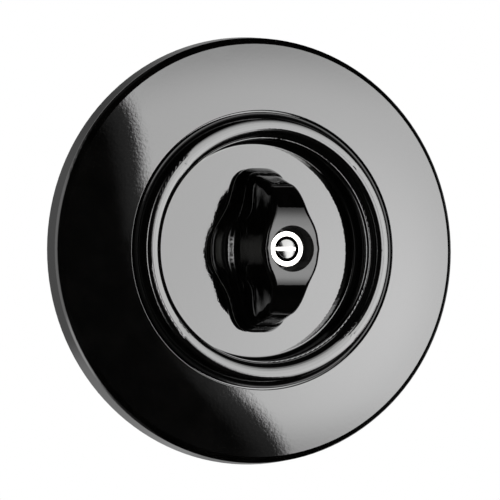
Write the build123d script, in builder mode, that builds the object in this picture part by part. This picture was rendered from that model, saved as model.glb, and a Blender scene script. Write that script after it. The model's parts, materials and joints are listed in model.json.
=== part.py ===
import math
import os

from build123d import *

os.makedirs("parts", exist_ok=True)

# Wall plane y = 0, front towards -Y, Z up, spindle on the Y axis.
# Levels are heights in front of the wall.
FRONT = Plane(origin=(0, 0, 0), x_dir=(1, 0, 0), z_dir=(0, -1, 0))
PROFILE = Plane(origin=(0, 0, 0), x_dir=(1, 0, 0), z_dir=(0, 0, -1))
SIDE = Plane(origin=(0, 0, 0), x_dir=(0, 0, 1), z_dir=(1, 0, 0))

# Clearances
seat_gap = 0.02
run_gap = 0.03
slide_gap = 0.05
screw_gap = 0.15
mould_gap = 0.3

# Cover frame
frame_radius = 50.0
frame_edge_height = 6.0
frame_edge_round = 1.5
frame_edge_fullness = 0.57
frame_draft = 0.7
frame_face_rise = 2.4
frame_shell = 2.4
rebate_depth = 0.9
lip_width = 2.4
lip_depth = 2.2

# Centre plate
plate_radius = 32.0
rim_height = 12.3
rim_crest_in = 27.6
rim_crest_out = 29.8
rim_inner_edge = 26.0
rim_inner_level = 10.0
rim_wall_foot = 31.15
plate_step_height = 8.6
floor_level = 3.95
floor_fall = 0.7
floor_thick = 2.6
floor_cove = 0.8
spigot_depth = 1.6

# Knob
knob_lift = 0.55
knob_top = 25.7
knob_rim = 0.8
skirt_rise = 4.0
flare_rise = 2.4
ledge_out = 0.5
ledge_in = 0.15
ledge_reach = 5.6
ledge_fade = 0.7
foot_hub = 11.75
foot_arm = 7.2
foot_length = 38.2
foot_hub_spread = 8.2
foot_hub_fall = 2.8
foot_squareness = 3.6
wing_hub = 7.1
wing_arm = 4.45
wing_length = 33.8
wing_hub_spread = 7.2
wing_hub_fall = 3.8
wing_squareness = 6.0
wing_top_squareness = 7.0
wing_top_hub = 6.95
wing_top_arm = 5.45
wing_top_length = 25.4
wing_top_spread = 6.6
wing_top_taper = 0.0275
top_flat_half = 4.6
top_arc_radius = 11.2
top_round = 1.1
well_radius = 5.25
well_depth = 5.1
knob_web = 2.0

# Knob fixing
cup_radius = 4.15
cup_hole = 2.85
cup_height = 1.6
cup_floor = 0.5
knob_screw_head = 2.75
knob_screw_boss = 2.25
knob_screw_head_height = 1.2
knob_screw_crown = 0.15
knob_screw_radius = 1.5
knob_screw_length = 10.0
slot_width = 0.95
slot_depth = 0.8

# Bush, nut and spindle
bush_radius = 4.0
bush_collar = 7.0
bush_stand = 2.35
bush_tail = 5.0
nut_radius = 5.4
nut_height = 2.0
spindle_radius = 2.5
spindle_flats = 3.6
spindle_square = 3.5
tail_radius = 1.7
clip_radius = 3.2
clip_thick = 0.6

# Support ring
ring_size = 71.0
ring_rim_gap = 1.5
ring_corner = 2.0
sheet = 1.0
dish_radius = 27.4
dish_depth = 3.0
box_screw_pitch = 60.0
box_screw_hole = 2.1
leg_half_gap = 5.0
leg_near = 19.5
leg_far = 26.2
leg_depth = 15.2

# Switch base
base_radius = 23.5
base_depth = 24.0
front_wall = 6.0
notch_flat = 17.8
notch_half = 6.6
drum_chamber = 11.5
cover_seat = 15.4
back_plate_thick = 2.0
base_screw_offset = 17.0
base_screw_radius = 1.5
base_screw_head = 2.75
base_screw_head_height = 1.7
base_screw_length = 7.0
back_screw_offset = 13.3
back_screw_radius = 1.2
back_screw_head = 2.2
back_screw_head_height = 1.2
back_screw_length = 6.0

# Detent and contacts
cam_size = 9.0
cam_corner = 1.2
cam_thick = 4.6
spring_thick = 0.4
spring_width = 4.0
spring_length = 20.4
spring_room = 2.05
spring_seat = 2.2
drum_radius = 7.5
drum_gap = 0.25
bridge_depth = 1.2
bridge_width = 5.0
bridge_half_span = 4.8
contact_width = 4.4
nose_radius = 7.82
foot_radius = 15.0

# Terminals
terminal_near = 15.22
terminal_depth = 6.0
terminal_width = 7.0
terminal_length = 9.6
terminal_sink = 0.5
wire_hole = 1.5
wire_hole_depth = 8.0
terminal_screw_radius = 1.45
terminal_screw_head = 2.5
terminal_screw_head_height = 1.6
terminal_screw_set = 4.5

# Claws
claw_screw_x = 20.6
claw_screw_radius = 1.75
claw_screw_head = 3.0
claw_screw_head_height = 1.9
claw_screw_length = 18.4
claw_pivot_x = 24.4
claw_pivot_level = -15.5
claw_pin_radius = 1.0
claw_hub = 1.7
claw_nose = 0.8
claw_nose_drop = 1.0
claw_prong_in = 2.6
claw_prong_out = 4.6
claw_sheet = 1.2
claw_front_level = -5.0
claw_tooth = 1.4
claw_nut_thick = 2.6
claw_nut_near = 18.2
claw_ear_far = 22.3

# Levels that follow
frame_top = frame_edge_height + frame_face_rise
rebate_radius = plate_radius + mould_gap
rebate_level = frame_top - rebate_depth
frame_hole = plate_radius - lip_width
spigot_radius = frame_hole - mould_gap
plate_seat = rebate_level + seat_gap
plate_back = floor_level - floor_thick
knob_base = floor_level + knob_lift
flare_start = knob_base + knob_rim
ledge_level = flare_start + skirt_rise
flare_end = ledge_level + flare_rise
well_floor = knob_top - well_depth
socket_top = well_floor - knob_web
spindle_top = socket_top - screw_gap
bush_front = floor_level + bush_stand
nut_base = floor_level + seat_gap
nut_top = nut_base + nut_height
cavity_top = bush_front + 4 * screw_gap
cavity_radius = nut_radius + 0.8
ring_back = 0.0
dish_floor = sheet - dish_depth
dish_back = dish_floor - sheet
collar_back = dish_floor + seat_gap
collar_front = plate_back - seat_gap
bush_back = dish_back - bush_tail
base_front = dish_back - seat_gap
base_back = base_front - base_depth
chamber_front = base_front - front_wall
cam_front = chamber_front - 2 * screw_gap
cam_back = cam_front - cam_thick
drum_front = cam_back - slide_gap
plate_front = base_back + back_plate_thick
drum_back = plate_front + drum_gap
chamber_step = drum_front + 2 * screw_gap
tail_end = base_back - clip_thick - 2 * screw_gap - slide_gap
clip_front = base_back - slide_gap
clip_back = clip_front - clip_thick
terminal_back = base_back + terminal_sink
pocket_front = terminal_back + terminal_length + slide_gap
terminal_far = terminal_near + terminal_depth
terminal_screw_level = terminal_back + terminal_screw_set
wire_radius_at = terminal_near + terminal_depth / 2
contact_mid = (drum_front + drum_back) / 2 - 1.0
nose_level = claw_pivot_level - claw_nose_drop
claw_nut_front = nose_level - claw_nose - slide_gap
claw_nut_far = claw_pivot_x - claw_pin_radius - mould_gap
ring_reach = frame_radius - frame_shell - ring_rim_gap

with BuildPart() as cover_frame:
    with BuildSketch(PROFILE) as frame_section:
        with BuildLine():
            side_top = frame_edge_height - frame_edge_round
            side_r = frame_radius - frame_draft * side_top / frame_edge_height
            bend = frame_edge_round * frame_edge_fullness
            face_r = side_r - frame_edge_round
            mid_r = (face_r + rebate_radius) / 2
            mid_h = frame_edge_height + 0.62 * frame_face_rise
            inner_r = frame_radius - frame_shell
            under = frame_edge_height - frame_shell
            lip_under = rebate_level - lip_depth
            edge = 0.25
            Line((inner_r, 0), (frame_radius, 0))
            Line((frame_radius, 0), (side_r, side_top))
            ThreePointArc(
                (side_r, side_top),
                (face_r + bend, side_top + bend),
                (face_r, frame_edge_height),
            )
            ThreePointArc(
                (face_r, frame_edge_height),
                (mid_r, mid_h),
                (rebate_radius + edge, frame_top),
            )
            RadiusArc((rebate_radius + edge, frame_top), (rebate_radius, frame_top - edge), -edge)
            Polyline(
                (rebate_radius, frame_top - edge),
                (rebate_radius, rebate_level),
                (frame_hole, rebate_level),
                (frame_hole, lip_under),
                (rebate_radius, lip_under),
            )
            ThreePointArc(
                (rebate_radius, lip_under),
                (mid_r, mid_h - frame_shell - 0.1),
                (inner_r - 1.2, under),
            )
            Line((inner_r - 1.2, under), (inner_r, 0))
        make_face()
    revolve(axis=Axis.Y)
cover_frame.part.label = "cover_frame"
export_step(cover_frame.part, "parts/cover_frame.step")

with BuildPart() as centre_plate:
    with BuildSketch(PROFILE) as plate_section:
        with BuildLine():
            hole_r = bush_radius + mould_gap
            wall_top_r = rim_inner_edge - 0.15
            wall_low_r = rim_inner_edge - 0.6
            cove = floor_cove * math.sin(math.pi / 4)
            step_top = plate_step_height
            shoulder = 0.9
            Line((hole_r, plate_back), (hole_r, floor_level))
            floor_edge = floor_level - floor_fall
            Line((hole_r, floor_level), (wall_low_r - floor_cove, floor_edge))
            ThreePointArc(
                (wall_low_r - floor_cove, floor_edge),
                (wall_low_r - floor_cove + cove, floor_edge + floor_cove - cove),
                (wall_low_r, floor_edge + floor_cove),
            )
            Line((wall_low_r, floor_edge + floor_cove), (wall_top_r, rim_inner_level - 0.4))
            ThreePointArc(
                (wall_top_r, rim_inner_level - 0.4),
                (rim_inner_edge, rim_inner_level - 0.08),
                (rim_inner_edge + 0.3, rim_inner_level + 0.1),
            )
            ThreePointArc(
                (rim_inner_edge + 0.3, rim_inner_level + 0.1),
                (rim_inner_edge + 0.8, rim_inner_level + 0.55),
                (rim_crest_in - 0.45, rim_height - 0.85),
            )
            ThreePointArc(
                (rim_crest_in - 0.45, rim_height - 0.85),
                (rim_crest_in - 0.1, rim_height - 0.42),
                (rim_crest_in + 0.45, rim_height - 0.12),
            )
            ThreePointArc(
                (rim_crest_in + 0.45, rim_height - 0.12),
                ((rim_crest_in + rim_crest_out) / 2, rim_height),
                (rim_crest_out - 0.5, rim_height - 0.12),
            )
            ThreePointArc(
                (rim_crest_out - 0.5, rim_height - 0.12),
                (rim_crest_out + 0.05, rim_height - 0.48),
                (rim_crest_out + 0.4, rim_height - shoulder - 0.25),
            )
            Line(
                (rim_crest_out + 0.4, rim_height - shoulder - 0.25),
                (rim_wall_foot - 0.1, step_top + 0.35),
            )
            ThreePointArc(
                (rim_wall_foot - 0.1, step_top + 0.35),
                (rim_wall_foot + 0.02, step_top + 0.1),
                (rim_wall_foot + 0.3, step_top),
            )
            Line((rim_wall_foot + 0.3, step_top), (plate_radius - 0.2, step_top - 0.03))
            ThreePointArc(
                (plate_radius - 0.2, step_top - 0.03),
                (plate_radius - 0.06, step_top - 0.09),
                (plate_radius, step_top - 0.23),
            )
            Polyline(
                (plate_radius, step_top - 0.23),
                (plate_radius, plate_seat),
                (spigot_radius, plate_seat),
                (spigot_radius, plate_seat - spigot_depth),
                (rim_inner_edge + 1.9, plate_seat - spigot_depth - 0.8),
                (rim_inner_edge + 1.2, plate_back),
                (hole_r, plate_back),
            )
        make_face()
    revolve(axis=Axis.Y)
centre_plate.part.label = "centre_plate"
export_step(centre_plate.part, "parts/centre_plate.step")

with BuildPart() as knob:
    grid_top = knob_top + 1.5
    row_steps = 40
    stations = []
    for i in range(9):
        a = math.pi / 2 * i / 8
        flare = ledge_out + (1 - ledge_out) * math.cos(a)
        stations.append((flare_start + skirt_rise * math.sin(a), flare, 0.0))
    stations.append((ledge_level, (ledge_out + ledge_in) / 2, 0.0))
    for i in range(8):
        a = math.pi / 2 * i / 7
        stations.append((ledge_level + flare_rise * (1 - math.cos(a)), ledge_in * (1 - math.sin(a)), 0.0))
    for t in (0.1, 0.22, 0.36, 0.52, 0.68, 0.84, 1.0):
        stations.append((flare_end + t * (grid_top - flare_end), 0.0, t))
    rows = []
    for level, flare, climb in stations:
        slope = max(0.0, (flare_end - level) / (flare_end - flare_start))
        hub_w = wing_hub + (wing_top_hub - wing_hub) * climb
        arm_w = wing_arm + (wing_top_arm - wing_arm) * climb
        half_w = (wing_length + (wing_top_length - wing_length) * climb) / 2
        spread = wing_hub_spread + (wing_top_spread - wing_hub_spread) * climb
        square = wing_squareness + (wing_top_squareness - wing_squareness) * climb
        curve = []
        for i in range(241):
            a = math.pi / 2 * i / 240
            z_w = half_w * math.sin(a) ** (2 / square)
            z_f = foot_length / 2 * math.sin(a) ** (2 / foot_squareness)
            thin = 1 - wing_top_taper * climb * z_w
            x_w = arm_w * thin + (hub_w - arm_w) * math.exp(-((z_w / spread) ** wing_hub_fall))
            x_f = foot_arm + (foot_hub - foot_arm) * math.exp(-((z_f / foot_hub_spread) ** foot_hub_fall))
            x_w *= math.cos(a) ** (2 / square)
            x_f *= math.cos(a) ** (2 / foot_squareness)
            near = 1 - ledge_fade + ledge_fade * math.exp(-((z_f / ledge_reach) ** 4))
            out = slope + (flare - slope) * near
            curve.append((x_w + (x_f - x_w) * out, -level, z_w + (z_f - z_w) * out))
        walk = [0.0]
        for p, q in zip(curve, curve[1:]):
            walk.append(walk[-1] + math.dist(p, q))
        row = [Vector(*curve[0])]
        j = 1
        for k in range(1, row_steps):
            goal = walk[-1] * k / row_steps
            while walk[j] < goal:
                j += 1
            f = (goal - walk[j - 1]) / (walk[j] - walk[j - 1])
            row.append(Vector(*curve[j - 1]) * (1 - f) + Vector(*curve[j]) * f)
        row.append(Vector(0, -level, curve[-1][2]))
        rows.append(row)
    flank = Face.make_surface_from_array_of_points(rows, tol=0.01, min_deg=3, max_deg=3)
    by_level = flank.edges().sort_by(Axis.Y)
    by_side = by_level[1:3].sort_by(Axis.Z)
    hub_low, tip_low, hub_high, tip_high = rows[0][0], rows[0][-1], rows[-1][0], rows[-1][-1]
    axis_low, axis_high = Vector(0, -flare_start, 0), Vector(0, -grid_top, 0)
    spine = Edge.make_line(axis_high, axis_low)
    low_x, low_z = Edge.make_line(axis_low, hub_low), Edge.make_line(tip_low, axis_low)
    high_x, high_z = Edge.make_line(hub_high, axis_high), Edge.make_line(tip_high, axis_high)
    under_face = Face(Wire([by_level[3], low_z, low_x]))
    over_face = Face(Wire([by_level[0], high_z, high_x]))
    cross_face = Face(Wire([by_side[0], high_x, spine, low_x]))
    long_face = Face(Wire([by_side[1], high_z, spine, low_z]))
    quarter = Solid(Shell([flank, under_face, over_face, cross_face, long_face]))
    half = quarter + quarter.mirror(Plane.YZ)
    add(half + half.mirror(Plane.XY))
    extrude(knob.faces().sort_by(Axis.Y)[-1], amount=knob_rim)
    with BuildSketch(SIDE.offset(-foot_length)):
        with BuildLine():
            sweep_angle = math.asin(0.95)
            far_z = top_flat_half + top_arc_radius * math.sin(sweep_angle)
            far_h = knob_top - top_arc_radius * (1 - math.cos(sweep_angle))
            mid_z = top_flat_half + top_arc_radius * math.sin(sweep_angle / 2)
            arc_h = knob_top - top_arc_radius * (1 - math.cos(sweep_angle / 2))
            Line((-top_flat_half, knob_top), (top_flat_half, knob_top))
            ThreePointArc((top_flat_half, knob_top), (mid_z, arc_h), (far_z, far_h))
            Polyline(
                (far_z, far_h),
                (foot_length, far_h),
                (foot_length, 2 * knob_top),
                (-foot_length, 2 * knob_top),
                (-foot_length, far_h),
                (-far_z, far_h),
            )
            ThreePointArc((-far_z, far_h), (-mid_z, arc_h), (-top_flat_half, knob_top))
        make_face()
    extrude(amount=2 * foot_length, mode=Mode.SUBTRACT)
    top_edges = knob.edges().filter_by(
        lambda e: e.center().Y < -(knob_top - 8) and (abs(e.center().X) > 1 or abs(e.center().Z) > 10)
    )
    for share in (1.0, 0.7, 0.4):
        try:
            fillet(top_edges, radius=share * top_round)
            break
        except ValueError:
            continue
    with BuildSketch(FRONT.offset(well_floor)):
        Circle(well_radius)
    extrude(amount=well_depth + 1, mode=Mode.SUBTRACT)
    with BuildSketch(FRONT.offset(knob_base - 1)):
        Circle(cavity_radius)
    extrude(amount=cavity_top - knob_base + 1, mode=Mode.SUBTRACT)
    with BuildSketch(FRONT.offset(knob_base)):
        Circle(spindle_radius + slide_gap)
        Rectangle(2 * spindle_radius + 1, spindle_flats + 2 * slide_gap, mode=Mode.INTERSECT)
    extrude(amount=socket_top - knob_base, mode=Mode.SUBTRACT)
    with BuildSketch(FRONT.offset(knob_base)):
        Circle(knob_screw_radius + screw_gap)
    extrude(amount=knob_top - knob_base, mode=Mode.SUBTRACT)
knob.part.label = "knob"
export_step(knob.part, "parts/knob.step")

with BuildPart() as knob_cup:
    with BuildSketch(FRONT.offset(well_floor + seat_gap)):
        Circle(cup_radius)
    extrude(amount=cup_height)
    chamfer(knob_cup.edges().sort_by(Axis.Y)[0], length=0.2)
    with BuildSketch(FRONT.offset(well_floor + cup_floor)):
        Circle(cup_hole)
    extrude(amount=cup_height, mode=Mode.SUBTRACT)
    with BuildSketch(FRONT.offset(well_floor)):
        Circle(knob_screw_radius + screw_gap)
    extrude(amount=cup_height, mode=Mode.SUBTRACT)
knob_cup.part.label = "knob_cup"
export_step(knob_cup.part, "parts/knob_cup.step")

with BuildPart() as knob_screw:
    head_seat = well_floor + cup_floor + seat_gap
    with BuildSketch(PROFILE):
        with BuildLine():
            tip_level = head_seat - knob_screw_length
            head_edge = head_seat + knob_screw_head_height - knob_screw_crown
            crown_level = head_edge + knob_screw_crown
            Polyline(
                (0, tip_level),
                (knob_screw_radius - 0.5, tip_level),
                (knob_screw_radius - slide_gap, tip_level + 0.5),
                (knob_screw_radius - slide_gap, head_seat),
                (knob_screw_head, head_seat),
                (knob_screw_head, head_seat + 0.25),
                (knob_screw_boss, head_edge - 0.15),
            )
            ThreePointArc(
                (knob_screw_boss, head_edge - 0.15),
                (knob_screw_boss - 0.06, head_edge - 0.04),
                (knob_screw_boss - 0.18, head_edge),
            )
            ThreePointArc(
                (knob_screw_boss - 0.18, head_edge),
                (knob_screw_boss / 2, head_edge + 0.72 * knob_screw_crown),
                (0, crown_level),
            )
            Line((0, crown_level), (0, tip_level))
        make_face()
    revolve(axis=Axis.Y)
    with BuildSketch(FRONT.offset(crown_level - slot_depth)):
        Rectangle(4 * knob_screw_head, slot_width)
    extrude(amount=2, mode=Mode.SUBTRACT)
knob_screw.part.label = "knob_screw"
export_step(knob_screw.part, "parts/knob_screw.step")

with BuildPart() as plate_nut:
    with BuildSketch(FRONT.offset(nut_base)):
        Circle(nut_radius)
        Circle(bush_radius + slide_gap, mode=Mode.SUBTRACT)
    extrude(amount=nut_height)
    with BuildSketch(FRONT.offset(nut_top - 1)):
        Rectangle(4 * nut_radius, 1.4)
    extrude(amount=2, mode=Mode.SUBTRACT)
plate_nut.part.label = "plate_nut"
export_step(plate_nut.part, "parts/plate_nut.step")

with BuildPart() as bearing_bush:
    with BuildSketch(FRONT.offset(bush_back)):
        Circle(bush_radius)
    extrude(amount=bush_front - bush_back)
    chamfer(bearing_bush.edges().sort_by(Axis.Y)[0], length=0.35)
    with BuildSketch(FRONT.offset(collar_back)):
        Circle(bush_collar)
    extrude(amount=collar_front - collar_back)
    with BuildSketch(FRONT.offset(bush_back)):
        Circle(spindle_radius + run_gap)
    extrude(amount=bush_front - bush_back, mode=Mode.SUBTRACT)
bearing_bush.part.label = "bearing_bush"
export_step(bearing_bush.part, "parts/bearing_bush.step")

with BuildPart() as spindle:
    with BuildSketch(FRONT.offset(cam_front)):
        Circle(spindle_radius)
    extrude(amount=spindle_top - cam_front)
    with BuildSketch(FRONT.offset(cavity_top)):
        Rectangle(8 * spindle_radius, 8 * spindle_radius)
        Rectangle(8 * spindle_radius, spindle_flats, mode=Mode.SUBTRACT)
    extrude(amount=spindle_top - cavity_top, mode=Mode.SUBTRACT)
    with BuildSketch(FRONT.offset(drum_back)):
        Rectangle(spindle_square, spindle_square)
    extrude(amount=cam_front - drum_back)
    with BuildSketch(FRONT.offset(tail_end)):
        Circle(tail_radius)
    extrude(amount=drum_back - tail_end)
    with BuildSketch(FRONT.offset(clip_back - slide_gap)):
        Circle(2 * tail_radius)
        Circle(tail_radius - 0.35, mode=Mode.SUBTRACT)
    extrude(amount=clip_thick + 2 * slide_gap, mode=Mode.SUBTRACT)
    with BuildSketch(FRONT.offset(spindle_top - knob_screw_length)):
        Circle(knob_screw_radius)
    extrude(amount=knob_screw_length, mode=Mode.SUBTRACT)
spindle.part.label = "spindle"
export_step(spindle.part, "parts/spindle.step")

with BuildPart() as detent_cam:
    with BuildSketch(FRONT.offset(cam_back)):
        RectangleRounded(cam_size, cam_size, cam_corner)
        Rectangle(spindle_square + slide_gap, spindle_square + slide_gap, mode=Mode.SUBTRACT)
    extrude(amount=cam_thick)
detent_cam.part.label = "detent_cam"
export_step(detent_cam.part, "parts/detent_cam.step")

with BuildPart() as contact_drum:
    with BuildSketch(FRONT.offset(drum_back)):
        Circle(drum_radius)
        Rectangle(spindle_square + slide_gap, spindle_square + slide_gap, mode=Mode.SUBTRACT)
    extrude(amount=drum_front - drum_back)
    with BuildSketch(FRONT.offset(contact_mid - bridge_width / 2 - seat_gap)):
        Circle(drum_radius + 1)
        Circle(drum_radius - bridge_depth - seat_gap, mode=Mode.SUBTRACT)
        Rectangle(2 * (bridge_half_span - seat_gap), 4 * drum_radius, mode=Mode.SUBTRACT)
    extrude(amount=bridge_width + 2 * seat_gap, mode=Mode.SUBTRACT)
contact_drum.part.label = "contact_drum"
export_step(contact_drum.part, "parts/contact_drum.step")

with BuildPart() as contact_bridges:
    with BuildSketch(FRONT.offset(contact_mid - bridge_width / 2)):
        Circle(drum_radius)
        Circle(drum_radius - bridge_depth, mode=Mode.SUBTRACT)
        Rectangle(2 * bridge_half_span, 4 * drum_radius, mode=Mode.SUBTRACT)
    extrude(amount=bridge_width)
contact_bridges.part.label = "contact_bridges"
export_step(contact_bridges.part, "parts/contact_bridges.step")

with BuildPart() as retaining_clip:
    with BuildSketch(FRONT.offset(clip_back)):
        Circle(clip_radius)
        Circle(tail_radius - 0.35 + slide_gap, mode=Mode.SUBTRACT)
        with Locations((clip_radius / 2, 0)):
            Rectangle(clip_radius, 2 * (tail_radius - 0.5), mode=Mode.SUBTRACT)
    extrude(amount=clip_thick)
retaining_clip.part.label = "retaining_clip"
export_step(retaining_clip.part, "parts/retaining_clip.step")

with BuildPart() as support_ring:
    with BuildSketch(FRONT.offset(ring_back)) as support_outline:
        Circle(ring_reach)
        Rectangle(ring_size, ring_size, mode=Mode.INTERSECT)
        fillet(support_outline.vertices(), radius=ring_corner)
    extrude(amount=sheet)
    with BuildSketch(FRONT.offset(dish_back)):
        Circle(dish_radius)
    extrude(amount=dish_depth)
    with BuildSketch(FRONT.offset(dish_floor)):
        Circle(dish_radius - sheet)
    extrude(amount=dish_depth + sheet, mode=Mode.SUBTRACT)
    with BuildSketch(FRONT.offset(dish_back)):
        Circle(bush_radius + slide_gap)
        with Locations((0, base_screw_offset), (0, -base_screw_offset)):
            Circle(base_screw_radius + screw_gap)
        with Locations((claw_screw_x, 0), (-claw_screw_x, 0)):
            Circle(claw_screw_radius + screw_gap)
    extrude(amount=2 * sheet, mode=Mode.SUBTRACT)
    with BuildSketch(FRONT.offset(ring_back)):
        with PolarLocations(box_screw_pitch / 2, 4):
            Circle(box_screw_hole)
    extrude(amount=sheet, mode=Mode.SUBTRACT)
    with BuildSketch(FRONT.offset(dish_back - leg_depth)):
        leg_mid = (leg_near + leg_far) / 2
        leg_z = leg_half_gap + sheet / 2
        with Locations((leg_mid, leg_z), (leg_mid, -leg_z), (-leg_mid, leg_z), (-leg_mid, -leg_z)):
            Rectangle(leg_far - leg_near, sheet)
    extrude(amount=leg_depth)
    with BuildSketch(Plane.XY.offset(-2 * leg_half_gap)):
        with Locations((claw_pivot_x, -claw_pivot_level), (-claw_pivot_x, -claw_pivot_level)):
            Circle(claw_pin_radius + seat_gap)
    extrude(amount=4 * leg_half_gap, mode=Mode.SUBTRACT)
support_ring.part.label = "support_ring"
export_step(support_ring.part, "parts/support_ring.step")

with BuildPart() as switch_base:
    with BuildSketch(FRONT.offset(base_back)):
        Circle(base_radius)
        with Locations((notch_flat + base_radius, 0), (-notch_flat - base_radius, 0)):
            Rectangle(2 * base_radius, 2 * notch_half, mode=Mode.SUBTRACT)
    extrude(amount=base_depth)
    with BuildSketch(FRONT.offset(base_back)):
        Circle(bush_radius + slide_gap)
    extrude(amount=base_depth, mode=Mode.SUBTRACT)
    with BuildSketch(FRONT.offset(base_back)):
        Circle(drum_chamber)
    extrude(amount=chamber_step - base_back, mode=Mode.SUBTRACT)
    with BuildSketch(FRONT.offset(base_back)):
        Circle(cover_seat)
    extrude(amount=back_plate_thick + seat_gap, mode=Mode.SUBTRACT)
    with BuildSketch(FRONT.offset(chamber_step)):
        seat_x = cam_size / 2 + spring_thick + 2 * slide_gap
        Rectangle(2 * (seat_x + spring_room), spring_length - 2 * spring_seat)
        Rectangle(2 * seat_x, spring_length + 4 * slide_gap)
    extrude(amount=chamber_front - chamber_step, mode=Mode.SUBTRACT)
    with BuildSketch(FRONT.offset(base_back)):
        with PolarLocations((foot_radius + terminal_far) / 2, 4, start_angle=45):
            Rectangle(terminal_far - foot_radius + 0.9, terminal_width + 2 * screw_gap)
    extrude(amount=pocket_front - base_back, mode=Mode.SUBTRACT)
    with BuildSketch(FRONT.offset(base_back)):
        with PolarLocations((drum_radius + foot_radius) / 2, 4, start_angle=45):
            with Locations((0, -0.8)):
                Rectangle(foot_radius - drum_radius + 1, terminal_width + 3)
    extrude(amount=contact_mid + contact_width / 2 + 1 - base_back, mode=Mode.SUBTRACT)
    for turn in (45, 135, 225, 315):
        away = Vector(math.cos(math.radians(turn)), 0, math.sin(math.radians(turn)))
        start = Vector(0, -terminal_screw_level, 0) + away * (terminal_far - 0.5)
        with BuildSketch(Plane(origin=start, x_dir=(0, 1, 0), z_dir=away)):
            Circle(terminal_screw_head + 2 * screw_gap)
        extrude(amount=base_radius, mode=Mode.SUBTRACT)
    with BuildSketch(FRONT.offset(base_front - base_screw_length)):
        with Locations((0, base_screw_offset), (0, -base_screw_offset)):
            Circle(base_screw_radius + slide_gap)
    extrude(amount=base_screw_length, mode=Mode.SUBTRACT)
    with BuildSketch(FRONT.offset(plate_front)):
        with Locations((0, back_screw_offset), (0, -back_screw_offset)):
            Circle(back_screw_radius + slide_gap)
    extrude(amount=back_screw_length, mode=Mode.SUBTRACT)
switch_base.part.label = "switch_base"
export_step(switch_base.part, "parts/switch_base.step")

with BuildPart() as base_screws:
    with BuildSketch(FRONT.offset(dish_floor + seat_gap)):
        with Locations((0, base_screw_offset), (0, -base_screw_offset)):
            Circle(base_screw_head)
    extrude(amount=base_screw_head_height)
    with BuildSketch(FRONT.offset(base_front - base_screw_length + 0.5)):
        with Locations((0, base_screw_offset), (0, -base_screw_offset)):
            Circle(base_screw_radius)
    extrude(amount=dish_floor + 0.1 - base_front + base_screw_length - 0.5)
    with BuildSketch(FRONT.offset(dish_floor + base_screw_head_height - 0.8)):
        with Locations((0, base_screw_offset), (0, -base_screw_offset)):
            Rectangle(3 * base_screw_head, 0.8)
    extrude(amount=2, mode=Mode.SUBTRACT)
base_screws.part.label = "base_screws"
export_step(base_screws.part, "parts/base_screws.step")

with BuildPart() as back_plate:
    with BuildSketch(FRONT.offset(base_back)):
        Circle(cover_seat - 2 * screw_gap)
        Circle(tail_radius + run_gap, mode=Mode.SUBTRACT)
        with Locations((0, back_screw_offset), (0, -back_screw_offset)):
            Circle(back_screw_radius + slide_gap, mode=Mode.SUBTRACT)
        with PolarLocations((foot_radius + terminal_far) / 2, 4, start_angle=45):
            Rectangle(terminal_far - foot_radius + 1.2, terminal_width + 1, mode=Mode.SUBTRACT)
    extrude(amount=back_plate_thick)
back_plate.part.label = "back_plate"
export_step(back_plate.part, "parts/back_plate.step")

with BuildPart() as back_screws:
    with BuildSketch(FRONT.offset(base_back - seat_gap - back_screw_head_height)):
        with Locations((0, back_screw_offset), (0, -back_screw_offset)):
            Circle(back_screw_head)
    extrude(amount=back_screw_head_height)
    with BuildSketch(FRONT.offset(base_back - 0.1)):
        with Locations((0, back_screw_offset), (0, -back_screw_offset)):
            Circle(back_screw_radius)
    extrude(amount=back_plate_thick + back_screw_length - 0.4)
    with BuildSketch(FRONT.offset(base_back - back_screw_head_height - 1)):
        with Locations((0, back_screw_offset), (0, -back_screw_offset)):
            Rectangle(3 * back_screw_head, 0.6)
    extrude(amount=1.6, mode=Mode.SUBTRACT)
back_screws.part.label = "back_screws"
export_step(back_screws.part, "parts/back_screws.step")

for side, sign in (("right", 1), ("left", -1)):
    with BuildPart() as detent_spring:
        spring_x = sign * (cam_size / 2 + slide_gap + spring_thick / 2)
        with BuildSketch(FRONT.offset((cam_front + cam_back - spring_width) / 2)):
            with Locations((spring_x, 0)):
                Rectangle(spring_thick, spring_length)
        extrude(amount=spring_width)
    detent_spring.part.label = "detent_spring_" + side
    export_step(detent_spring.part, "parts/detent_spring_" + side + ".step")

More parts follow.
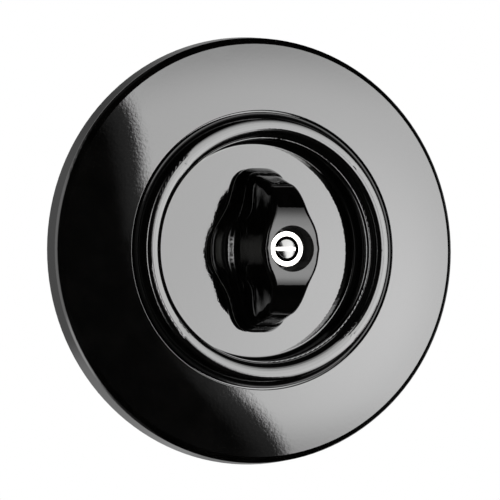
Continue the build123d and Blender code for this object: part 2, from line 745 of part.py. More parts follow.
for number, turn in ((1, 45), (2, 135), (3, 225), (4, 315)):
    across = Vector(math.cos(math.radians(turn)), 0, math.sin(math.radians(turn)))
    spot = Plane(origin=(0, 0, 0), x_dir=across, z_dir=(0, -1, 0))
    with BuildPart() as terminal:
        with BuildSketch(spot.offset(terminal_back)):
            with Locations(((terminal_near + terminal_far) / 2, 0)):
                Rectangle(terminal_depth, terminal_width)
        extrude(amount=terminal_length)
        with BuildSketch(spot.offset(terminal_back)):
            with Locations((wire_radius_at, 0)):
                Circle(wire_hole)
        extrude(amount=wire_hole_depth, mode=Mode.SUBTRACT)
        thread_start = Vector(0, -terminal_screw_level, 0) + across * wire_radius_at
        with BuildSketch(Plane(origin=thread_start, x_dir=(0, 1, 0), z_dir=across)):
            Circle(terminal_screw_radius + slide_gap)
        extrude(amount=terminal_depth, mode=Mode.SUBTRACT)
    terminal.part.label = "terminal_" + str(number)
    export_step(terminal.part, "parts/terminal_" + str(number) + ".step")

    with BuildPart() as terminal_screw:
        shank_start = Vector(0, -terminal_screw_level, 0) + across * (wire_radius_at + wire_hole)
        with BuildSketch(Plane(origin=shank_start, x_dir=(0, 1, 0), z_dir=across)):
            Circle(terminal_screw_radius)
        extrude(amount=terminal_far - wire_radius_at - wire_hole + 0.1)
        head_start = Vector(0, -terminal_screw_level, 0) + across * (terminal_far + slide_gap)
        with BuildSketch(Plane(origin=head_start, x_dir=(0, 1, 0), z_dir=across)):
            Circle(terminal_screw_head)
        extrude(amount=terminal_screw_head_height)
        groove = head_start + across * (terminal_screw_head_height - 0.7)
        with BuildSketch(Plane(origin=groove, x_dir=(0, 1, 0), z_dir=across)):
            Rectangle(3 * terminal_screw_head, 0.7)
        extrude(amount=2, mode=Mode.SUBTRACT)
    terminal_screw.part.label = "terminal_screw_" + str(number)
    export_step(terminal_screw.part, "parts/terminal_screw_" + str(number) + ".step")

    with BuildPart() as contact_spring:
        with BuildSketch(spot.offset(contact_mid - contact_width / 2)):
            with BuildLine():
                FilletPolyline(
                    (foot_radius, 2.8),
                    (foot_radius, -3.6),
                    (nose_radius + 1.4, -5.0),
                    (nose_radius, 0.3),
                    (nose_radius + 1.1, 3.2),
                    radius=0.6,
                )
            trace(line_width=spring_thick)
        extrude(amount=contact_width)
    contact_spring.part.label = "contact_spring_" + str(number)
    export_step(contact_spring.part, "parts/contact_spring_" + str(number) + ".step")

for side, sign in (("right", 1), ("left", -1)):
    with BuildPart() as claw:
        for z_low in (claw_prong_in, -claw_prong_out):
            with BuildSketch(Plane.XY.offset(z_low)):
                with BuildLine():
                    nose_x = sign * claw_screw_x
                    hub_x = sign * claw_pivot_x
                    arm_in = sign * (claw_pivot_x + claw_hub - claw_sheet)
                    arm_out = sign * (claw_pivot_x + claw_hub)
                    Polyline(
                        (nose_x, -nose_level + claw_nose),
                        (hub_x, -claw_pivot_level - claw_nose / 4),
                        (arm_out, -claw_pivot_level),
                        (arm_out, -claw_pivot_level - claw_hub - 1),
                        (arm_in, -claw_pivot_level - claw_hub - 1),
                        (hub_x, -claw_pivot_level - claw_hub),
                        (nose_x, -nose_level - claw_nose),
                        (nose_x, -nose_level + claw_nose),
                    )
                make_face()
                with Locations((nose_x, -nose_level)):
                    Circle(claw_nose)
                with Locations((hub_x, -claw_pivot_level)):
                    Circle(claw_hub)
                    Circle(claw_pin_radius + slide_gap, mode=Mode.SUBTRACT)
            extrude(amount=claw_prong_out - claw_prong_in)
        with BuildSketch(FRONT.offset(claw_pivot_level + claw_hub)):
            with Locations((sign * (claw_pivot_x + claw_hub - claw_sheet / 2), 0)):
                Rectangle(claw_sheet, 2 * claw_prong_out)
        extrude(amount=claw_front_level - claw_pivot_level - claw_hub)
        for z_mid in (-3.4, 0.0, 3.4):
            with BuildSketch(Plane.XY.offset(z_mid - 1.2)):
                with BuildLine():
                    tooth_in = sign * (claw_pivot_x + claw_hub - claw_sheet)
                    tooth_out = sign * (claw_pivot_x + claw_hub + claw_tooth)
                    Polyline(
                        (tooth_in, -claw_front_level),
                        (tooth_out, -claw_front_level + 0.4),
                        (tooth_in, -claw_front_level + 2.4),
                        (tooth_in, -claw_front_level),
                    )
                make_face()
            extrude(amount=2.4)
    claw.part.label = "claw_" + side
    export_step(claw.part, "parts/claw_" + side + ".step")

    with BuildPart() as claw_pin:
        with BuildSketch(Plane.XY.offset(-leg_half_gap - sheet - 0.3)):
            with Locations((sign * claw_pivot_x, -claw_pivot_level)):
                Circle(claw_pin_radius)
        extrude(amount=2 * (leg_half_gap + sheet + 0.3))
    claw_pin.part.label = "claw_pin_" + side
    export_step(claw_pin.part, "parts/claw_pin_" + side + ".step")

    with BuildPart() as claw_screw:
        with BuildSketch(FRONT.offset(dish_floor + seat_gap)):
            with Locations((sign * claw_screw_x, 0)):
                Circle(claw_screw_head)
        extrude(amount=claw_screw_head_height)
        with BuildSketch(FRONT.offset(dish_floor - claw_screw_length)):
            with Locations((sign * claw_screw_x, 0)):
                Circle(claw_screw_radius)
        extrude(amount=claw_screw_length + 0.1)
        with BuildSketch(FRONT.offset(dish_floor + claw_screw_head_height - 0.9)):
            with Locations((sign * claw_screw_x, 0)):
                Rectangle(0.9, 3 * claw_screw_head)
        extrude(amount=2, mode=Mode.SUBTRACT)
    claw_screw.part.label = "claw_screw_" + side
    export_step(claw_screw.part, "parts/claw_screw_" + side + ".step")

    with BuildPart() as claw_nut:
        with BuildSketch(FRONT.offset(claw_nut_front - claw_nut_thick)):
            with Locations((sign * (claw_nut_near + claw_ear_far) / 2, 0)):
                Rectangle(claw_ear_far - claw_nut_near, 2 * claw_prong_out)
            with Locations((sign * (claw_nut_near + claw_nut_far) / 2, 0)):
                Rectangle(claw_nut_far - claw_nut_near, 2 * claw_prong_in - 4 * screw_gap)
            with Locations((sign * claw_screw_x, 0)):
                Circle(claw_screw_radius + run_gap, mode=Mode.SUBTRACT)
        extrude(amount=claw_nut_thick)
    claw_nut.part.label = "claw_nut_" + side
    export_step(claw_nut.part, "parts/claw_nut_" + side + ".step")
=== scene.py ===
import json
import math

import bpy
from mathutils import Matrix, Vector

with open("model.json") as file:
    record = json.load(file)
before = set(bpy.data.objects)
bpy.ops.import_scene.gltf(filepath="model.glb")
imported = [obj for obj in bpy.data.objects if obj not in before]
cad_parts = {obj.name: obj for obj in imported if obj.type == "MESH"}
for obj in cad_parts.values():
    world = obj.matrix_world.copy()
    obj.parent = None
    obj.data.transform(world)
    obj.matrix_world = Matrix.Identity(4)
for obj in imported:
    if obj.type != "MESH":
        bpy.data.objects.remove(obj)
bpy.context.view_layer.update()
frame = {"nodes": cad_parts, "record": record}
nodes = frame["nodes"]
scene = bpy.context.scene
mm = 0.001
print("frame loaded,", len(nodes), "nodes")


# Shader maths

class Wire:                                        # a socket that takes part in expressions
    def __init__(self, finish, socket):
        self.finish = finish
        self.socket = socket

    def math(self, operation, other=0.0, turned=False):
        pair = (other, self) if turned else (self, other)
        return self.finish.node("ShaderNodeMath", {"operation": operation}, dict(enumerate(pair)))

    def __add__(self, other):
        return self.math("ADD", other)

    def __sub__(self, other):
        return self.math("SUBTRACT", other)

    def __rsub__(self, other):
        return self.math("SUBTRACT", other, True)

    def __mul__(self, other):
        return self.math("MULTIPLY", other)

    def __truediv__(self, other):
        return self.math("DIVIDE", other)

    def __pow__(self, other):
        return self.math("POWER", other)

    def __neg__(self):
        return self.math("MULTIPLY", -1.0)

    def __abs__(self):
        return self.math("ABSOLUTE")

    __radd__ = __add__
    __rmul__ = __mul__

    def step(self, low, high):                     # 0 below low, 1 above high, smooth between
        settings = {"interpolation_type": "SMOOTHSTEP"}
        sockets = {"Value": self, "From Min": low, "From Max": high}
        return self.finish.node("ShaderNodeMapRange", settings, sockets)

    def band(self, low, high, soft):               # 1 between low and high, with soft ends
        return self.step(low, low + soft) * (1 - self.step(high - soft, high))


class Finish:                                      # a node tree that is built from expressions
    def __init__(self, owner):
        owner.use_nodes = True
        self.owner = owner
        self.tree = owner.node_tree
        self.tree.nodes.clear()

    def node(self, kind, settings=None, sockets=None, out=0):
        made = self.tree.nodes.new(kind)
        for key, value in (settings or {}).items():
            if key == "stops":
                self.stops(made.color_ramp.elements, value)
            else:
                setattr(made, key, value)
        for key, value in (sockets or {}).items():
            if isinstance(value, Wire):
                self.tree.links.new(value.socket, made.inputs[key])
            else:
                made.inputs[key].default_value = value
        return Wire(self, made.outputs[out]) if made.outputs else made

    def stops(self, elements, stops):
        while len(elements) < len(stops):
            elements.new(1.0)
        for element, (place, level) in zip(elements, stops):
            element.position = place
            element.color = (level, level, level, 1.0)

    def place(self):                               # object coordinates, metres
        return self.node("ShaderNodeTexCoord", out=3)

    def axes(self, vector):
        split = self.node("ShaderNodeSeparateXYZ", None, {"Vector": vector})
        outputs = split.socket.node.outputs
        return [Wire(self, outputs[i]) for i in range(3)]

    def spot(self):                                # x, y, z and the distance from the spindle's axis
        x, y, z = self.axes(self.place())
        return x, y, z, (x * x + z * z) ** 0.5

    def noise(self, size, detail=2.0, rough=0.5, warp=0.0, at=None):
        sockets = {"Scale": 1 / size, "Detail": detail, "Roughness": rough, "Distortion": warp}
        sockets["Vector"] = at or self.place()
        return self.node("ShaderNodeTexNoise", None, sockets)

    def vector(self, operation, *values):
        out = 1 if operation == "DOT_PRODUCT" else 0
        return self.node("ShaderNodeVectorMath", {"operation": operation}, dict(enumerate(values)), out)

    def stretched(self, scale):
        return self.vector("MULTIPLY", self.place(), scale)

    def ramp(self, value, stops):                  # stops are pairs of a place and a grey level
        shown = self.node("ShaderNodeValToRGB", {"stops": stops}, {"Fac": value})
        return self.axes(shown)[0]

    def blend(self, factor, first, second):
        pick = {0: factor}
        for key, colour in ((6, first), (7, second)):
            pick[key] = colour if isinstance(colour, Wire) else (*colour, 1.0)
        return self.node("ShaderNodeMix", {"data_type": "RGBA"}, pick, out=2)

    def uneven(self, noise, base, spread):
        return noise * spread + base

    def bump(self, height, depth, below=None):
        sockets = {"Height": height, "Distance": depth}
        if below:
            sockets["Normal"] = below
        return self.node("ShaderNodeBump", None, sockets)

    def tipped(self, along, degrees, below):       # a normal tipped back from where along rises
        return self.bump(along, math.tan(math.radians(degrees)), below)

    def mixed(self, factor, first, second):        # of two normals
        return self.node("ShaderNodeMix", {"data_type": "VECTOR"}, {0: factor, 4: first, 5: second}, out=1)

    def surface(self, shade=0.0, shadeTone=0.002, **sockets):
        named = {key.replace("_", " "): value for key, value in sockets.items()}
        shader = self.node("ShaderNodeBsdfPrincipled", None, named)
        if shade:                                  # a dull tone where little light gets in
            tone = (shadeTone, shadeTone, shadeTone, 1.0)
            dull = self.node("ShaderNodeBsdfDiffuse", None, {"Color": tone})
            shader = self.node("ShaderNodeMixShader", None, {0: shade, 1: shader, 2: dull})
        self.node("ShaderNodeOutputMaterial", None, {"Surface": shader})
        return self.owner


def newFinish(name):
    return Finish(bpy.data.materials.new(name))


# Black phenolic: noises are size, detail, roughness and warp; levels are out from the wall

blackLook = dict(
    dark=(0.0006, 0.0006, 0.00055), light=(0.0016, 0.0015, 0.0014),
    cloud=(6 * mm, 4.0, 0.6), tones=(0.35, 0.7),
    fleck=(0.005, 0.0047, 0.0042), flecks=(0.35 * mm, 1.0), fleckTones=(0.62, 0.75), fleckShare=0.4,
    peel=(0.7 * mm, 2.5, 0.55), peelDepth=0.006 * mm,
    haze=(11 * mm, 3.0, 0.6), hazeTones=(0.4, 0.8), rough=(0.03, 0.03))


def blackCoat(name, ior):                          # gloss with faint flecks and a fine orange peel
    f = newFinish(name)
    look = blackLook
    colour = f.blend(f.noise(*look["cloud"]).step(*look["tones"]), look["dark"], look["light"])
    fleck = f.noise(*look["flecks"]).step(*look["fleckTones"])
    colour = f.blend(fleck * look["fleckShare"], colour, look["fleck"])
    haze = f.noise(*look["haze"]).step(*look["hazeTones"])
    rough = f.uneven(haze, *look["rough"])
    normal = f.bump(f.noise(*look["peel"]), look["peelDepth"])
    return f, dict(Base_Color=colour, Roughness=rough, IOR=ior, Normal=normal)


frameLook = dict(
    ior=1.92, leftSide=(-30 * mm, -18 * mm),
    lean=14.0, leanLevel=(4.7 * mm, 6.1 * mm, 0.4 * mm), leanRadius=(48.9 * mm, 49.0 * mm),
    upright=20.0, lineLevel=(4.2 * mm, 5.4 * mm, 0.15 * mm), lineRadius=(48.8 * mm, 48.9 * mm))


def framePhenolic():                               # the outer edge leans in, but stands upright at the left
    f, coat = blackCoat("blackPhenolic", frameLook["ior"])
    x, y, z, radius = f.spot()
    normal = coat["Normal"]
    left = 1 - x.step(*frameLook["leftSide"])
    lean = (-y).band(*frameLook["leanLevel"]) * radius.step(*frameLook["leanRadius"]) * (1 - left)
    line = (-y).band(*frameLook["lineLevel"]) * radius.step(*frameLook["lineRadius"]) * left
    leaning = f.tipped(y, frameLook["lean"], normal)
    standing = f.tipped(-y, frameLook["upright"], normal)
    coat["Normal"] = f.mixed(line, f.mixed(lean, normal, leaning), standing)
    return f.surface(**coat)


plateLook = dict(
    ior=1.92, crest=(27.1 * mm, 30.25 * mm, 0.1 * mm), crestFlatten=0.62,
    lipLevel=(6.4 * mm, 9.0 * mm), lipRadius=(25.95 * mm, 26.05 * mm), lipFlatten=2.0, lipShare=0.92,
    shadeFrom=24 * mm, shadeWide=9 * mm,
    wallFootShade=((24.85, 0.0), (24.91, 0.92), (25.60, 0.9), (25.68, 0.0)),   # radius in mm, share of shade
    lipEdgeShade=((26.28, 0.0), (26.38, 0.8), (27.12, 0.8), (27.22, 0.0)),
    rimFootShade=((30.5, 0.0), (30.7, 0.75), (31.2, 0.92), (31.5, 0.97), (31.6, 0.72), (31.77, 0.72),
             (31.87, 1.0), (32.4, 1.0), (32.6, 0.0)))


def platePhenolic():                               # the crest and lip are rubbed flat; painted shade darkens the wall foot, lip edge and rim foot
    f, coat = blackCoat("platePhenolic", plateLook["ior"])
    x, y, z, radius = f.spot()
    crest = radius.band(*plateLook["crest"])
    inside = 1 - radius.step(*plateLook["lipRadius"])
    lip = (-y).step(*plateLook["lipLevel"]) * inside * plateLook["lipShare"]
    normal = coat["Normal"]
    normal = f.mixed(lip, normal, f.bump(y, plateLook["lipFlatten"], normal))
    coat["Normal"] = f.mixed(crest, normal, f.bump(y, plateLook["crestFlatten"], normal))
    start, wide = plateLook["shadeFrom"], plateLook["shadeWide"]
    # painted shade rings where the rim meets the wall, the lip and the cover
    shadeRings = plateLook["wallFootShade"] + plateLook["lipEdgeShade"] + plateLook["rimFootShade"]
    stops = [((at * mm - start) / wide, share) for at, share in shadeRings]
    return f.surface(f.ramp((radius - start) / wide, stops), **coat)


knobLook = dict(
    ior=1.56, lean=4.0, ledge=(8.75 * mm, 9.75 * mm, 0.15 * mm), ledgeFall=31.0,
    well=(5.22 * mm, 5.32 * mm), wellShade=0.7, wellTone=0.04,
    paintedSheen=(0.036, 0.036, 0.034), skirt=(6.8 * mm, 8.8 * mm, 0.5 * mm), skirtFade=(1.5 * mm, 4.8 * mm),
    flank=(10.8 * mm, 24.6 * mm, 1.2 * mm), flankFade=(0.8 * mm, 3.6 * mm),
    footEdgeHighlight=(0.21, 0.21, 0.20), footEdgeLevel=(4.2 * mm, 4.85 * mm, 0.1 * mm))


def knobPhenolic():                                # duller from handling, pressed a little askew
    f, coat = blackCoat("knobPhenolic", knobLook["ior"])
    x, y, z, radius = f.spot()
    level = -y
    leaning = f.tipped(x, -knobLook["lean"], coat["Normal"])
    falling = f.tipped(radius, -knobLook["ledgeFall"], leaning)
    coat["Normal"] = f.mixed(level.band(*knobLook["ledge"]), leaning, falling)
    # painted sheen: a grey tone on the skirt and flank stands in for soft reflections
    skirt = level.band(*knobLook["skirt"]) * (1 - abs(z).step(*knobLook["skirtFade"]))
    flank = level.band(*knobLook["flank"]) * (1 - abs(z).step(*knobLook["flankFade"]))
    colour = f.blend(skirt + flank, coat["Base_Color"], knobLook["paintedSheen"])
    # painted highlight: a pale line along the foot's lower edge
    coat["Base_Color"] = f.blend(level.band(*knobLook["footEdgeLevel"]), colour, knobLook["footEdgeHighlight"])
    shade = (1 - radius.step(*knobLook["well"])) * knobLook["wellShade"]
    return f.surface(shade, knobLook["wellTone"], **coat)


# Brown phenolic

brownLook = dict(
    dark=(0.055, 0.022, 0.011), light=(0.15, 0.068, 0.034), tones=(0.3, 0.72),
    swirl=(3.5 * mm, 5.0, 0.65, 1.5), grain=(0.25 * mm, 2.0), grainDepth=0.01 * mm, rough=(0.32, 0.2))


def brownPhenolic():
    f = newFinish("brownPhenolic")
    look = brownLook
    swirl = f.noise(*look["swirl"])
    colour = f.blend(swirl.step(*look["tones"]), look["dark"], look["light"])
    normal = f.bump(f.noise(*look["grain"]), look["grainDepth"])
    return f.surface(Base_Color=colour, Roughness=f.uneven(swirl, *look["rough"]), Normal=normal)


# Turned metals

latheLook = dict(wander=(2.0 * mm, 2.0), wanderShare=0.6)


def turnedRings(f, pitch):                         # fine lathe marks about the spindle's axis
    x, y, z, radius = f.spot()
    wander = f.noise(*latheLook["wander"]) * (pitch * latheLook["wanderShare"])
    return ((radius + wander) * (2 * math.pi / pitch)).math("SINE")


nickelLook = dict(
    colour=(0.80, 0.79, 0.77), tint=(0.72, 0.69, 0.64), cloud=(1.6 * mm, 3.0, 0.6), tones=(0.35, 0.75),
    ringPitch=0.09 * mm, ringDepth=0.0006 * mm, rough=(0.08, 0.08))


def nickelCoat(name):
    f = newFinish(name)
    look = nickelLook
    cloud = f.noise(*look["cloud"])
    colour = f.blend(cloud.step(*look["tones"]), look["colour"], look["tint"])
    normal = f.bump(turnedRings(f, look["ringPitch"]), look["ringDepth"])
    rough = f.uneven(cloud, *look["rough"])
    return f, dict(Base_Color=colour, Metallic=1.0, Roughness=rough, Normal=normal)


def nickelPlate():
    f, coat = nickelCoat("nickelPlate")
    return f.surface(**coat)


cupLook = dict(hollow=(2.90 * mm, 2.95 * mm))


def cupNickel():                                   # little light gets into the hollow
    f, coat = nickelCoat("cupNickel")
    x, y, z, radius = f.spot()
    return f.surface(1 - radius.step(*cupLook["hollow"]), **coat)


screwLook = dict(
    colour=(0.19, 0.19, 0.188), crown=20.0, boss=(2.15 * mm, 2.25 * mm), slot=(0.37 * mm, 0.45 * mm))


def screwNickel():                                 # painted shade round the boss, and a painted highlight along the slot
    f, coat = nickelCoat("screwNickel")
    x, y, z, radius = f.spot()
    slot = 1 - abs(z).step(*screwLook["slot"])
    # the head off the slot is painted dark grey, leaving a painted highlight along the slot
    coat["Base_Color"] = f.blend(slot, screwLook["colour"], coat["Base_Color"])
    coat["Normal"] = f.bump(x * x, -screwLook["crown"], coat["Normal"])
    # painted shade round the boss, outside the slot
    return f.surface(radius.step(*screwLook["boss"]) * (1 - slot), **coat)


brassLook = dict(
    bright=(0.80, 0.58, 0.27), dull=(0.60, 0.40, 0.17), stain=(4 * mm, 5.0, 0.62), tones=(0.42, 0.75),
    ringPitch=0.16 * mm, grain=(0.3 * mm, 2.0), depth=0.004 * mm, rough=(0.18, 0.25))


def turnedBrass():
    f = newFinish("turnedBrass")
    look = brassLook
    stain = f.noise(*look["stain"])
    colour = f.blend(stain.step(*look["tones"]), look["bright"], look["dull"])
    normal = f.bump(turnedRings(f, look["ringPitch"]) + f.noise(*look["grain"]), look["depth"])
    rough = f.uneven(stain, *look["rough"])
    return f.surface(Base_Color=colour, Metallic=1.0, Roughness=rough, Normal=normal)


# Sheet metals

zincLook = dict(
    bright=(0.66, 0.67, 0.68), grey=(0.50, 0.51, 0.53), spangle=2.2 * mm, tones=(0.1, 0.9),
    tint=(0.60, 0.59, 0.52), stain=(9 * mm, 4.0, 0.6), stainTones=(0.5, 0.75), stainShare=0.5,
    grain=(0.25 * mm, 3.0), grainDepth=0.006 * mm, rough=(0.22, 0.12), stainRough=0.15)


def zincPlate():
    f = newFinish("zincPlate")
    look = zincLook
    cells = f.node("ShaderNodeTexVoronoi", None, {"Vector": f.place(), "Scale": 1 / look["spangle"]}, out=1)
    tone = f.node("ShaderNodeSeparateColor", None, {"Color": cells})
    colour = f.blend(tone.step(*look["tones"]), look["bright"], look["grey"])
    stain = f.noise(*look["stain"])
    colour = f.blend(stain.step(*look["stainTones"]) * look["stainShare"], colour, look["tint"])
    rough = f.uneven(tone, *look["rough"]) + stain * look["stainRough"]
    normal = f.bump(f.noise(*look["grain"]), look["grainDepth"])
    return f.surface(Base_Color=colour, Metallic=1.0, Roughness=rough, Normal=normal)


springLook = dict(
    main=(0.10, 0.13, 0.20), stained=(0.26, 0.22, 0.17), stain=(5 * mm, 3.0, 0.55), tones=(0.35, 0.7),
    streak=(0.5 * mm, 2.0), streakScale=(1.0, 6.0, 0.4), streakDepth=0.003 * mm, rough=(0.2, 0.2))
bronzeLook = dict(
    main=(0.70, 0.42, 0.24), stained=(0.46, 0.24, 0.13), stain=(3 * mm, 4.0, 0.6), tones=(0.4, 0.75),
    streak=(0.4 * mm, 2.0), streakScale=(1.0, 0.15, 1.0), streakDepth=0.003 * mm, rough=(0.2, 0.2))


def rolledStrip(name, look):                       # spring strip with rolling marks and a stain
    f = newFinish(name)
    colour = f.blend(f.noise(*look["stain"]).step(*look["tones"]), look["main"], look["stained"])
    streak = f.noise(*look["streak"], at=f.stretched(look["streakScale"]))
    rough = f.uneven(streak, *look["rough"])
    normal = f.bump(streak, look["streakDepth"])
    return f.surface(Base_Color=colour, Metallic=1.0, Roughness=rough, Normal=normal)


# Ceramic and board

steatiteLook = dict(
    body=(0.78, 0.755, 0.69), warm=(0.66, 0.62, 0.53), warmShare=0.6,
    cloud=(9 * mm, 4.0, 0.6), tones=(0.45, 0.8),
    speck=(0.30, 0.26, 0.20), specks=(0.7 * mm, 1.0), speckTones=(0.73, 0.78), speckShare=0.7,
    grain=(0.22 * mm, 3.0, 0.6), grainDepth=0.02 * mm, wave=(3 * mm, 2.0), waveDepth=0.05 * mm,
    rough=(0.45, 0.2), gloss=0.45)


def firedSteatite():
    f = newFinish("firedSteatite")
    look = steatiteLook
    cloud = f.noise(*look["cloud"])
    colour = f.blend(cloud.step(*look["tones"]) * look["warmShare"], look["body"], look["warm"])
    speck = f.noise(*look["specks"]).step(*look["speckTones"])
    colour = f.blend(speck * look["speckShare"], colour, look["speck"])
    wave = f.bump(f.noise(*look["wave"]), look["waveDepth"])
    normal = f.bump(f.noise(*look["grain"]), look["grainDepth"], wave)
    rough = f.uneven(cloud, *look["rough"])
    return f.surface(Base_Color=colour, Roughness=rough, Specular_IOR_Level=look["gloss"], Normal=normal)


fibreLook = dict(
    dark=(0.13, 0.045, 0.026), light=(0.27, 0.11, 0.065), tones=(0.3, 0.7),
    strand=(0.9 * mm, 4.0, 0.65, 2.5), strandScale=(1.0, 3.0, 0.35), depth=0.02 * mm, rough=(0.5, 0.2),
    patch=(0.20, 0.085, 0.05), patches=(6 * mm, 3.0), patchTones=(0.5, 0.8), patchShare=0.4)


def pressedFibre():
    f = newFinish("pressedFibre")
    look = fibreLook
    strand = f.noise(*look["strand"], at=f.stretched(look["strandScale"]))
    colour = f.blend(strand.step(*look["tones"]), look["dark"], look["light"])
    patch = f.noise(*look["patches"]).step(*look["patchTones"])
    colour = f.blend(patch * look["patchShare"], colour, look["patch"])
    normal = f.bump(strand, look["depth"])
    return f.surface(Base_Color=colour, Roughness=f.uneven(strand, *look["rough"]), Normal=normal)


finishOf = {"phenolic_black": framePhenolic(), "phenolic_brown": brownPhenolic(), "nickel": nickelPlate(),
            "brass": turnedBrass(), "zinc_steel": zincPlate(), "steatite": firedSteatite(),
            "spring_steel": rolledStrip("bluedSteel", springLook), "fibre_board": pressedFibre(),
            "spring_bronze": rolledStrip("rolledBronze", bronzeLook)}
ownFinish = {"centre_plate": platePhenolic(), "knob": knobPhenolic(), "knob_cup": cupNickel(),
             "knob_screw": screwNickel()}
for row in frame["record"]["subparts"]:
    mesh = nodes[row["node"]].data
    mesh.materials.clear()
    mesh.materials.append(ownFinish.get(row["node"], finishOf[row["material_slot"]]))
print("finishes on", len(nodes), "nodes")


# Camera and light, with angles in degrees

view = dict(
    azimuth=-21.71, elevation=-1.14, distance=700 * mm, faceLevel=8.4 * mm, aimLeft=3.31 * mm,
    lens=217.73, sensor=36, clipStart=50 * mm)
upward = Vector((0, 0, 1))


def direction(azimuth, elevation):                 # azimuth 0 is straight in front, 90 is to the right
    a, e = math.radians(azimuth), math.radians(elevation)
    return Vector((math.sin(a) * math.cos(e), -math.cos(a) * math.cos(e), math.sin(e)))


def makeCamera():
    back = direction(view["azimuth"], view["elevation"])
    right = upward.cross(back).normalized()
    target = Vector((0, -view["faceLevel"], 0))
    data = bpy.data.cameras.new("camera")
    data.lens = view["lens"]
    data.sensor_width = view["sensor"]
    data.clip_start = view["clipStart"]
    camera = bpy.data.objects.new("camera", data)
    camera.location = target + back * view["distance"]
    aim = target - right * view["aimLeft"] - camera.location
    camera.rotation_euler = aim.to_track_quat("-Z", "Y").to_euler()
    scene.collection.objects.link(camera)
    scene.camera = camera


def newLamp(name, wide, tall, radiance):
    data = bpy.data.lights.new(name, "AREA")
    data.shape = "RECTANGLE"
    data.size = wide
    data.size_y = tall
    data.energy = radiance * math.pi * wide * tall
    lamp = bpy.data.objects.new(name, data)
    lamp.visible_camera = False
    scene.collection.objects.link(lamp)
    return lamp


def span(away, half):                              # width of a panel that fills twice half an angle
    return 2 * away * math.tan(math.radians(half))


def lampGlow(lamp):                                # the lamp's nodes, with the way to each point of it
    f = Finish(lamp.data)
    return f, f.vector("NORMALIZE", f.node("ShaderNodeNewGeometry"))


def glowWith(f, strength):
    light = f.node("ShaderNodeEmission", None, {"Strength": strength})
    f.node("ShaderNodeOutputLight", None, {"Surface": light})


panel = dict(
    edgeAzimuth=6.0, slant=0.5, halfWide=25.2, halfTall=43.0, away=2.0, radiance=3.75,
    skirt=5.0, skirtShare=0.04, edgeSoft=2.6, top=0.276, topFade=0.32, foot=0.26, footFade=0.26,
    hotAzimuth=36.0, hotElevation=-5.0, hotGain=0.4, hotSpread=17.0)


def makePanel():                                   # tall softbox to the right, its left edge leaning
    edge = direction(panel["edgeAzimuth"], 0)
    level = upward.cross(edge).normalized()
    across = (level + upward * panel["slant"]).normalized()
    half = math.radians(panel["halfWide"])
    middle = edge * math.cos(half) + across * math.sin(half)
    wide = across * math.cos(half) - edge * math.sin(half)
    tall = middle.cross(wide)
    away = panel["away"]
    sides = [span(away, panel[key]) for key in ("halfWide", "halfTall")]
    lamp = newLamp("softbox", *sides, panel["radiance"])
    turned = Matrix((wide, tall, middle)).transposed().to_4x4()
    lamp.matrix_world = Matrix.Translation(middle * away) @ turned
    f, toward = lampGlow(lamp)
    x, y, z = f.axes(toward)
    over = (z - panel["top"]).math("MAXIMUM", 0.0) / panel["topFade"]
    under = (-z - panel["foot"]).math("MAXIMUM", 0.0) / panel["footFade"]
    ends = (-(over * over + under * under)).math("EXPONENT")
    hot = direction(panel["hotAzimuth"], panel["hotElevation"])
    near = (f.vector("DOT_PRODUCT", toward, hot) - 1) * (2 / math.radians(panel["hotSpread"]) ** 2)
    inward = f.vector("DOT_PRODUCT", toward, across)
    skirt, full = [math.sin(math.radians(panel["skirt"] + more)) for more in (0, panel["edgeSoft"])]
    share = panel["skirtShare"]
    fade = inward.step(0.0, skirt) * share + inward.step(skirt, full) * (1 - share)
    glowWith(f, ends * (1 + panel["hotGain"] * near.math("EXPONENT")) * fade)


strip = dict(
    azimuth=-32.8, halfWide=6.0, halfTall=45.0, away=2.0, radiance=5.6,
    fade=(-3.2, 4.4), endFade=(0.15, 0.6))


def makeStrip():                                   # slim light left of the camera, for the knob's flank
    back = direction(strip["azimuth"], 0)
    away = strip["away"]
    sides = [span(away, strip[key]) for key in ("halfWide", "halfTall")]
    lamp = newLamp("strip", *sides, strip["radiance"])
    lamp.location = back * away
    lamp.rotation_euler = back.to_track_quat("Z", "Y").to_euler()
    f, toward = lampGlow(lamp)
    x, y, z = f.axes(toward)
    aside = f.vector("DOT_PRODUCT", toward, upward.cross(back).normalized())
    fade = 1 - aside.step(*[math.sin(math.radians(angle)) for angle in strip["fade"]])
    glowWith(f, fade * (1 - abs(z).step(*strip["endFade"])))


backLamps = dict(away=2.2, rows=(                  # name, azimuth, elevation, size, radiance
    ("rearLeft", -140, 35, 1.6, 1.8), ("rearRight", 140, 35, 1.6, 1.8), ("top", 175, 75, 1.2, 1.2)))


def makeBackLamps():                               # behind and above, for the sides and the back
    for name, azimuth, elevation, size, radiance in backLamps["rows"]:
        lamp = newLamp(name, size, size, radiance)
        back = direction(azimuth, elevation)
        lamp.location = back * backLamps["away"]
        lamp.rotation_euler = back.to_track_quat("Z", "Y").to_euler()
        lamp.visible_glossy = False


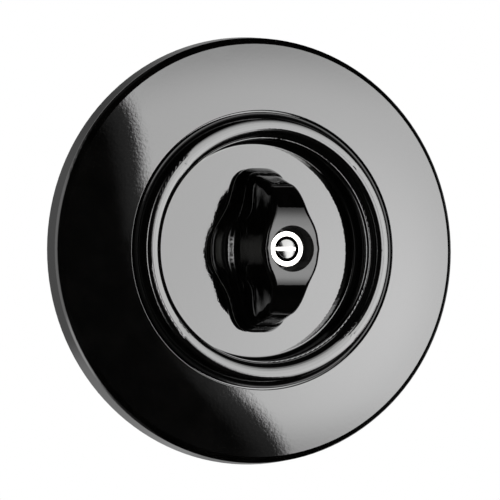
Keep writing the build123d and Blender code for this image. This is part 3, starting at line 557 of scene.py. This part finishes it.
world = dict(
    fill=0.30, front=(0.0, 0.008), darkTo=(0.70, 0.008), brim=(0.745, 0.75),   # pairs of place and level
    bright=(0.80, 0.95), falling=(0.87, 0.45), paleFrom=(0.92, 0.33), behind=(1.0, 0.33),
    upFade=(0.3, 0.65), downFade=(0.55, 0.72), fadeShare=0.97, lowGlow=(0.32, 0.42), lowGain=0.9)


def makeWorld():                                   # white to the camera; the gloss sees a backdrop
    scene.world = bpy.data.worlds.new("studio")
    f = Finish(scene.world)
    path = f.node("ShaderNodeLightPath").socket.node.outputs
    seen = Wire(f, path["Is Camera Ray"])
    mirror = Wire(f, path["Is Glossy Ray"]).math("MAXIMUM", Wire(f, path["Is Transmission Ray"]))
    x, y, z = f.axes(f.node("ShaderNodeTexCoord"))
    stops = [world[key] for key in ("front", "darkTo", "brim", "bright", "falling", "paleFrom", "behind")]
    backdrop = f.ramp(y * 0.5 + 0.5, stops)        # from in front, 0, to behind, 1
    backdrop = backdrop * (1 - z.step(*world["upFade"]) * world["fadeShare"])
    backdrop = backdrop * (1 - (-z).step(*world["downFade"]) * world["fadeShare"])
    backdrop = backdrop * (1 + (-z).step(*world["lowGlow"]) * world["lowGain"])
    strength = mirror * (backdrop - world["fill"]) + world["fill"]
    strength = seen + (1 - seen) * strength
    light = f.node("ShaderNodeBackground", None, {"Color": (1, 1, 1, 1), "Strength": strength})
    f.node("ShaderNodeOutputWorld", None, {"Surface": light})


floor = dict(
    level=-0.4, radius=1.5, sides=96, colour=(0.82, 0.82, 0.81), darker=0.97, grain=(0.05, 3.0),
    tones=(0.3, 0.7), rough=0.8)


def makeFloor():
    bpy.ops.mesh.primitive_circle_add(vertices=floor["sides"], radius=floor["radius"], fill_type="NGON",
                                      location=(0, 0, floor["level"]))
    disc = bpy.context.object
    disc.name = "floor"
    f = newFinish("paleFloor")
    darker = [floor["darker"] * part for part in floor["colour"]]
    tone = f.blend(f.noise(*floor["grain"]).step(*floor["tones"]), floor["colour"], darker)
    disc.data.materials.append(f.surface(Base_Color=tone, Roughness=floor["rough"]))
    disc.visible_glossy = False


makeCamera()
makePanel()
makeStrip()
makeBackLamps()
makeWorld()
makeFloor()
scene.view_settings.view_transform = "Standard"
print("camera and light set")
